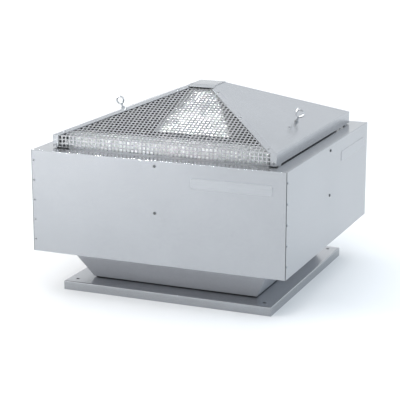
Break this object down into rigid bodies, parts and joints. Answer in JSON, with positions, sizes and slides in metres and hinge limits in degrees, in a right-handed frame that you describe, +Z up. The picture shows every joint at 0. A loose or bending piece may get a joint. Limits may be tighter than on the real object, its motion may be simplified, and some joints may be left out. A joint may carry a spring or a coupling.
{
  "type": "roof exhaust fan",
  "caption": "Square roof exhaust fan with vertical outlet: base plate, sheet casing, pyramid hood with perforated grilles, lifting eyes, motor and backward-curved impeller.",
  "frame": {"origin": "centre of the base plate, at the height of its bottom rim", "axes": "+Z up along the impeller shaft, -Y towards the front grille, +X towards the right solid side of the hood"},
  "size_m": [0.779, 0.779, 0.5905],
  "materials": {
    "galvanised": "smooth galvanised steel sheet, satin gloss",
    "foil": "aluminium foil face of a damping mat",
    "black_coat": "matt black powder coat",
    "bright_sheet": "bright rolled sheet",
    "label_plate": "plain satin plate, blank",
    "zinc_plated": "zinc plated, bright",
    "rivet_steel": "drawn steel, slightly dull",
    "seal_rubber": "black rubber",
    "absorber": "black fibre absorber mat",
    "motor_paint": "dark grey paint on metal",
    "cast_aluminium": "cast aluminium",
    "bearing_steel": "ground steel",
    "core_steel": "laminated electrical steel",
    "copper": "enamelled copper wire",
    "moulded_black": "black moulded plastic",
    "impeller_sheet": "aluminium sheet"
  },
  "bodies": {
    "housing": {"base_gasket": "seal_rubber", "base_plate": "galvanised", "bearing_lower": "bearing_steel", "bearing_upper": "bearing_steel", "cable_gland": "moulded_black", "carrier_plate_left": "black_coat", "carrier_plate_right": "black_coat", "casing_front": "galvanised", "casing_left": "galvanised", "casing_rear": "galvanised", "casing_right": "galvanised", "casing_rivets": "rivet_steel", "casing_screws": "zinc_plated", "casing_spacers": "galvanised", "cover_legs": "black_coat", "damping_mat_left": "foil", "damping_mat_right": "foil", "eye_nuts": "zinc_plated", "eye_washers": "zinc_plated", "fan_cowl": "motor_paint", "frame_bolts": "zinc_plated", "front_grille": "galvanised", "hood_cap": "galvanised", "hood_feet": "galvanised", "hood_rivets": "rivet_steel", "hood_side_left": "galvanised", "hood_side_right": "galvanised", "inlet_nozzle": "galvanised", "lifting_eye_left": "zinc_plated", "lifting_eye_right": "zinc_plated", "motor_cover": "bright_sheet", "motor_flange": "cast_aluminium", "motor_housing": "motor_paint", "motor_plate": "galvanised", "motor_posts": "galvanised", "motor_top_shield": "cast_aluminium", "nameplates": "label_plate", "nozzle_screws": "zinc_plated", "outlet_throat": "bright_sheet", "rear_grille": "galvanised", "rubber_buffers": "seal_rubber", "shell_front": "galvanised", "shell_left": "galvanised", "shell_rear": "galvanised", "shell_right": "galvanised", "shell_rivets": "rivet_steel", "stator": "core_steel", "terminal_box": "motor_paint", "terminal_box_lid": "motor_paint", "throat_brackets": "galvanised", "throat_lining": "absorber", "windings": "copper"},
    "impeller": {"rotor": "core_steel", "motor_shaft": "bearing_steel", "cooling_fan": "moulded_black", "impeller_shroud": "impeller_sheet", "impeller_backplate": "impeller_sheet", "impeller_blades": "impeller_sheet", "impeller_hub": "cast_aluminium", "hub_screw": "zinc_plated"}
  },
  "joints": [
    {"name": "impeller_spin", "type": "hinge", "parent": "housing", "child": "impeller", "pos_m": [0, 0, 0.2], "axis": [0, 0, 1], "continuous": true}
  ]
}
